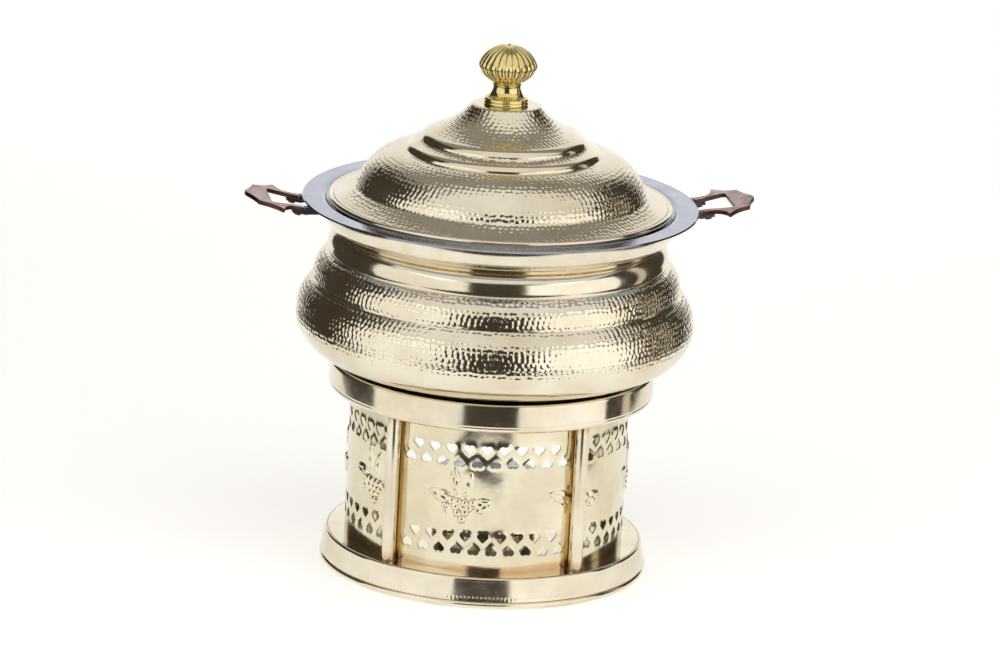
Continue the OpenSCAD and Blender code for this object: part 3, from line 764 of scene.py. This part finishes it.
def make_handle(node, side):
    """A cast plate: its outline swept up with the edge rounded over, tilted by HANDLE_RISE."""
    lo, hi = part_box(node)
    loop = handle_loop(HANDLE_REACH, (hi.y - lo.y) / 2)
    d = np.roll(loop, -1, axis=0) - np.roll(loop, 1, axis=0)
    d /= np.linalg.norm(d, axis=1)[:, None]
    out = np.stack([d[:, 1], -d[:, 0]], 1)
    steps = ((1.3, 0.0), (1.0, 0.0), (0.45, 0.16), (0.12, 0.5), (0.0, 1.1),
             (0.0, 2.9), (0.12, 3.5), (0.45, 3.84), (1.0, 4.0), (1.3, 4.0))
    rings = [np.column_stack([loop - out * inset * MM, np.full(len(loop), z * MM)]) for inset, z in steps]
    points = np.concatenate(rings)
    n = len(loop)
    faces = []
    for k in range(len(steps) - 1):
        for i in range(n):
            j = (i + 1) % n
            faces.append((k * n + i, k * n + j, (k + 1) * n + j, (k + 1) * n + i))
    top = flat_triangles(loop)
    faces += (top[:, ::-1]).tolist() + (top + (len(steps) - 1) * n).tolist()
    place = (Matrix.Rotation(math.pi if side < 0 else 0, 4, "Z")
             @ Matrix.Translation((flange_r + HANDLE_START, 0, collar_top - HANDLE_T))
             @ Matrix.Rotation(-math.radians(HANDLE_RISE), 4, "Y"))
    m = np.array(place)
    points = points @ m[:3, :3].T + m[:3, 3]
    # Painted shade: the plate's rounded edges and side walls take copper_cast's dark edge colour.
    shade = np.repeat([1.0 if 0.1 < z < 3.9 else 0.0 for _, z in steps], n)
    add_mesh(f"{node}_cast", points, faces, "pan", "copper_cast", (node,), sharp=60, heat=shade)


# ---------------------------------------------------------------- finishes

def linear(code):
    """A colour written in sRGB hex, as linear RGBA."""
    parts = [int(code[i:i + 2], 16) / 255 for i in (1, 3, 5)]
    return tuple(v / 12.92 if v <= 0.04045 else ((v + 0.055) / 1.055) ** 2.4 for v in parts) + (1.0,)


def add(tree, kind, inputs=(), links=(), **settings):
    """A node with its settings, its input values and the sockets linked into it, inputs by name or number."""
    node = tree.nodes.new(kind)
    for key, value in settings.items():
        setattr(node, key, value)
    for key, value in dict(inputs).items():
        node.inputs[key].default_value = value
    for key, source in dict(links).items():
        tree.links.new(source, node.inputs[key])
    return node


def start(name):
    """An empty metal: its tree, shader and the place on the object."""
    material = bpy.data.materials.new(name)
    material.use_nodes = True
    tree = material.node_tree
    tree.nodes.clear()
    shader = add(tree, "ShaderNodeBsdfPrincipled", {"Metallic": 1.0})
    add(tree, "ShaderNodeOutputMaterial", links={"Surface": shader.outputs[0]})
    place = add(tree, "ShaderNodeTexCoord").outputs["Object"]
    return material, tree, shader, place


def ramp(tree, source, stops):
    """A colour ramp over a 0 to 1 value, from (place, colour) stops."""
    node = add(tree, "ShaderNodeValToRGB", links={"Fac": source})
    line = node.color_ramp
    line.elements[0].position, line.elements[0].color = stops[0]
    line.elements[1].position, line.elements[1].color = stops[-1]
    for at, colour in stops[1:-1]:
        line.elements.new(at).color = colour
    return node.outputs["Color"]


def brass(name, clean, aged, low, high, line_mm, line_depth_mm, dents_mm=0.0):
    """Polished brass under clear lacquer: aged in soft patches, with the fine rings that the lathe leaves.

    The rings are noise over distance from the axis and height, line_mm apart. low and high are the
    roughness of a wiped and of a smudged place. dents_mm is the depth of soft hand-work dents.
    """
    material, tree, shader, place = start(name)
    flat = add(tree, "ShaderNodeVectorMath", {1: (1, 1, 0)}, {0: place}, operation="MULTIPLY")
    out = add(tree, "ShaderNodeVectorMath", links={0: flat.outputs[0]}, operation="LENGTH")
    height = add(tree, "ShaderNodeSeparateXYZ", links={0: place})
    rings = add(tree, "ShaderNodeCombineXYZ", links={0: out.outputs["Value"], 1: height.outputs[2]})
    lines = add(tree, "ShaderNodeTexNoise", {"Scale": 1000 / line_mm, "Detail": 3.0, "Roughness": 0.6},
                {"Vector": rings.outputs[0]})
    patches = add(tree, "ShaderNodeTexNoise", {"Scale": 1000 / 55, "Detail": 4.0, "Roughness": 0.55},
                  {"Vector": place})
    smudges = add(tree, "ShaderNodeTexNoise",
                  {"Scale": 1000 / 16, "Detail": 6.0, "Roughness": 0.62, "Distortion": 0.6},
                  {"Vector": place})
    tone = ramp(tree, patches.outputs[0], ((0.36, linear(clean)), (0.66, linear(aged))))
    heat = add(tree, "ShaderNodeAttribute", attribute_name="temper_and_shade")
    uneven = add(tree, "ShaderNodeMath", {1: 0.55}, {0: smudges.outputs[0]}, operation="MULTIPLY")
    warm = add(tree, "ShaderNodeMath", {1: 0.72}, {0: uneven.outputs[0]}, operation="ADD")
    hot = add(tree, "ShaderNodeMath", links={0: heat.outputs["Fac"], 1: warm.outputs[0]},
              operation="MULTIPLY")
    # Temper colours run from straw through copper red to purple as brass is heated by the torch.
    tint = ramp(tree, hot.outputs[0], ((0.12, linear(clean)), (0.35, linear("#E3BC62")),
                                       (0.62, linear("#B8795A")), (0.86, linear("#7C6484"))))
    amount = add(tree, "ShaderNodeMapRange", {"From Min": 0.06, "From Max": 0.3, "To Max": 0.45},
                 {"Value": hot.outputs[0]})
    colour = add(tree, "ShaderNodeMix", links={0: amount.outputs[0], 6: tone, 7: tint}, data_type="RGBA")
    tree.links.new(colour.outputs[2], shader.inputs["Base Color"])
    rough = add(tree, "ShaderNodeMapRange",
                {"From Min": 0.3, "From Max": 0.72, "To Min": low, "To Max": high},
                {"Value": smudges.outputs[0]})
    tree.links.new(rough.outputs[0], shader.inputs["Roughness"])
    bump = add(tree, "ShaderNodeBump", {"Strength": 1.0, "Distance": line_depth_mm * MM},
               {"Height": lines.outputs[0]})
    if dents_mm:
        dents = add(tree, "ShaderNodeTexNoise", {"Scale": 1000 / 9, "Detail": 2.0}, {"Vector": place})
        bump = add(tree, "ShaderNodeBump", {"Strength": 1.0, "Distance": dents_mm * MM},
                   {"Height": dents.outputs[0], "Normal": bump.outputs[0]})
    tree.links.new(bump.outputs[0], shader.inputs["Normal"])
    return material


def plain_metal(name, clean, aged, low, high, grain_mm, grain_depth_mm, patch_mm, stretch=(1, 1, 1),
                edge=None):
    """A plain metal: two tones in patches, smudged gloss, and a grain that stretch can draw out.

    edge is the colour that the temper attribute brings in, where a piece has it: painted shade, on the cast
    handles' side walls.
    """
    material, tree, shader, place = start(name)
    drawn = add(tree, "ShaderNodeMapping", {"Scale": stretch}, {"Vector": place})
    grain = add(tree, "ShaderNodeTexNoise", {"Scale": 1000 / grain_mm, "Detail": 4.0, "Roughness": 0.6},
                {"Vector": drawn.outputs[0]})
    patches = add(tree, "ShaderNodeTexNoise", {"Scale": 1000 / patch_mm, "Detail": 5.0, "Roughness": 0.6},
                  {"Vector": place})
    tone = ramp(tree, patches.outputs[0], ((0.36, linear(clean)), (0.66, linear(aged))))
    if edge:
        # Painted shade: on the handles this attribute darkens the side walls to the edge colour.
        heat = add(tree, "ShaderNodeAttribute", attribute_name="temper_and_shade")
        tone = add(tree, "ShaderNodeMix", {7: linear(edge)}, {0: heat.outputs["Fac"], 6: tone},
                   data_type="RGBA").outputs[2]
    tree.links.new(tone, shader.inputs["Base Color"])
    rough = add(tree, "ShaderNodeMapRange", {"From Min": 0.3, "From Max": 0.7, "To Min": low, "To Max": high},
                {"Value": patches.outputs[0]})
    tree.links.new(rough.outputs[0], shader.inputs["Roughness"])
    bump = add(tree, "ShaderNodeBump", {"Strength": 1.0, "Distance": grain_depth_mm * MM},
               {"Height": grain.outputs[0]})
    tree.links.new(bump.outputs[0], shader.inputs["Normal"])
    return material


# Polished cartridge brass under lacquer: pale champagne, almost a mirror, with faint rings.
FINISHES["spun_brass"] = brass("spun_brass", "#EAE3CF", "#DACFB7", 0.08, 0.17, 1.3, 0.004)
# The same brass rolled thin, pierced and beaten by hand, so its mirror wanders.
FINISHES["brass_sheet"] = brass("brass_sheet", "#EAE3CB", "#D9CFB1", 0.10, 0.22, 2.0, 0.003, 0.05)
# Bright yellow brass, cast, turned and buffed.
FINISHES["yellow_brass"] = brass("yellow_brass", "#ECE0A6", "#DECB88", 0.06, 0.15, 0.9, 0.004)
# Brass-coloured solder, melted and left dull.
FINISHES["solder"] = plain_metal("solder", "#C9A25A", "#8F6F3C", 0.25, 0.45, 1.5, 0.03, 6)
# 18/10 stainless steel, spun and mirror polished: grey as steel is, but darker and tinted blue as a painted
# reflection.
FINISHES["polished_steel"] = plain_metal("polished_steel", "#A8AEC0", "#989FB2", 0.07, 0.15, 2.5, 0.002, 25)
# Stainless steel darkened by heat where it was welded.
FINISHES["dark_steel"] = plain_metal("dark_steel", "#5A5A60", "#3C3B40", 0.25, 0.42, 1.2, 0.01, 9)
# Sand-cast brass, copper plated and browned, then rubbed back; its dark edge colour is painted shade on the
# handles' side walls.
FINISHES["copper_cast"] = plain_metal("copper_cast", "#AE9894", "#8E756E", 0.26, 0.42, 1.6, 0.02, 14,
                                      edge="#5A4038")
# Pressed stainless steel, satin.
FINISHES["burner_steel"] = plain_metal("burner_steel", "#B4B6BA", "#94969B", 0.22, 0.34, 1.0, 0.004, 12,
                                       (1, 1, 12))


# ---------------------------------------------------------------- the object

make_pot()
make_pan()
make_lid()
make_knob()
make_stand()
make_handle("handle_right", 1)
make_handle("handle_left", -1)

for part in frame["record"]["subparts"]:
    for held in nodes[part["node"]].material_slots:
        held.material = FINISHES[part["material_slot"]]


# ---------------------------------------------------------------- studio

def facing(azimuth, radius, height=0.0):
    """A place round the object, azimuth degrees to the right of the camera as it sees the object."""
    a = math.radians(VIEW_AZIMUTH + azimuth)
    return Vector((radius * math.sin(a), -radius * math.cos(a), height))


def plain_surface(name, code, rough, glow):
    """A plain painted surface that also gives a little light of its own, so that it stays pale."""
    material = bpy.data.materials.new(name)
    material.use_nodes = True
    shader = material.node_tree.nodes["Principled BSDF"]
    shader.inputs["Base Color"].default_value = linear(code)
    shader.inputs["Roughness"].default_value = rough
    shader.inputs["Emission Color"].default_value = linear(code)
    shader.inputs["Emission Strength"].default_value = glow
    return material


def make_sweep():
    """A pale floor that curves up behind the object: y runs back, z = 0 and then a quarter circle."""
    turn = np.linspace(0, math.pi / 2, 24)
    bend = 0.7
    y = np.concatenate([[-0.52, 0.0, 0.8], 1.5 + bend * np.sin(turn), [1.5 + bend]])
    z = np.concatenate([[0, 0, 0], bend * (1 - np.cos(turn)), [2.6]])
    half = np.interp(y, [0.9, 1.4], [0.62, 1.35])
    x = np.stack([-half, 0 * half, half], 1)
    a = math.radians(VIEW_AZIMUTH)
    grid = np.stack(np.broadcast_arrays(x, y[:, None], z[:, None]), -1)
    grid = np.stack([grid[..., 0] * math.cos(a) - grid[..., 1] * math.sin(a),
                     grid[..., 0] * math.sin(a) + grid[..., 1] * math.cos(a), grid[..., 2]], -1)
    card = plain_surface("white_card", "#FFFFFF", 0.9, 0.42)
    # The upright part shows only in the metal, so a view from behind sees past it.
    for name, strip, seen in (("sweep_floor", grid[:4], True), ("sweep_wall", grid[3:], False)):
        i = np.arange(len(strip) - 1)[:, None] * 3
        j = np.arange(2)[None, :]
        faces = np.stack([i + j, i + j + 1, i + j + 4, i + j + 3], 2).reshape(-1, 4)
        mesh = bpy.data.meshes.new(name)
        mesh.from_pydata(strip.reshape(-1, 3).tolist(), [], faces.tolist())
        mesh.shade_smooth()
        mesh.materials.append(card)
        piece = bpy.data.objects.new(name, mesh)
        piece.visible_camera = seen
        bpy.context.scene.collection.objects.link(piece)


def softbox(name, place, aim, width, height, watts, code):
    """A soft rectangular lamp at a place, turned to shine at aim."""
    lamp = bpy.data.lights.new(name, "AREA")
    lamp.shape = "RECTANGLE"
    lamp.size = width
    lamp.size_y = height
    lamp.energy = watts
    lamp.color = linear(code)[:3]
    lit = bpy.data.objects.new(name, lamp)
    lit.location = place
    lit.rotation_euler = (aim - place).to_track_quat("-Z", "Y").to_euler()
    bpy.context.scene.collection.objects.link(lit)


make_sweep()
WINDOW_DISTANCE = 2.6
WINDOW_HEIGHT = 0.48
for name, azimuth, width, height, watts, code in (("window_left", -53, 3.64, 2.55, 30, "#FFFDFA"),
                                                  ("window_right", 54, 3.51, 2.55, 34, "#FFFDFA"),
                                                  ("window_slit", 110, 0.4, 2.4, 2.0, "#FFF4E4")):
    softbox(name, facing(azimuth, WINDOW_DISTANCE, WINDOW_HEIGHT), Vector((0, 0, WINDOW_HEIGHT)),
            width, height, watts, code)
softbox("ceiling_front", facing(0, 1.75, 2.4), facing(0, 1.7501, 0), 7.0, 3.6, 68, "#FFFDFA")
softbox("ceiling_back", facing(180, 1.6, 2.4), facing(180, 1.6001, 0), 4.0, 3.1, 9.5, "#FFFCF4")

world = bpy.data.worlds.new("room")
bpy.context.scene.world = world
world.use_nodes = True
world.node_tree.nodes.clear()
seen = add(world.node_tree, "ShaderNodeLightPath")
walls = add(world.node_tree, "ShaderNodeBackground", {"Color": (0.06, 0.048, 0.037, 1), "Strength": 1.0})
paper = add(world.node_tree, "ShaderNodeBackground", {"Color": (1, 1, 1, 1), "Strength": 1.0})
room = add(world.node_tree, "ShaderNodeMixShader",
           links={0: seen.outputs["Is Camera Ray"], 1: walls.outputs[0], 2: paper.outputs[0]})
add(world.node_tree, "ShaderNodeOutputWorld", links={"Surface": room.outputs[0]})
bpy.context.scene.view_settings.view_transform = "Standard"


# ---------------------------------------------------------------- camera

camera = bpy.data.objects.new("camera", bpy.data.cameras.new("camera"))
bpy.context.scene.collection.objects.link(camera)
aim = Vector((0, 0, AIM_HEIGHT))
camera.location = aim + facing(0, VIEW_DISTANCE * math.cos(math.radians(VIEW_ELEVATION)),
                               VIEW_DISTANCE * math.sin(math.radians(VIEW_ELEVATION)))
turned_to = (aim - camera.location).to_track_quat("-Z", "Y").to_matrix()
camera.rotation_euler = (turned_to @ Matrix.Rotation(math.radians(VIEW_ROLL), 3, "Z")).to_euler()
camera.data.sensor_width = 36
camera.data.lens = LENS
camera.data.shift_x = 0.006
camera.data.shift_y = -0.005
bpy.context.scene.camera = camera
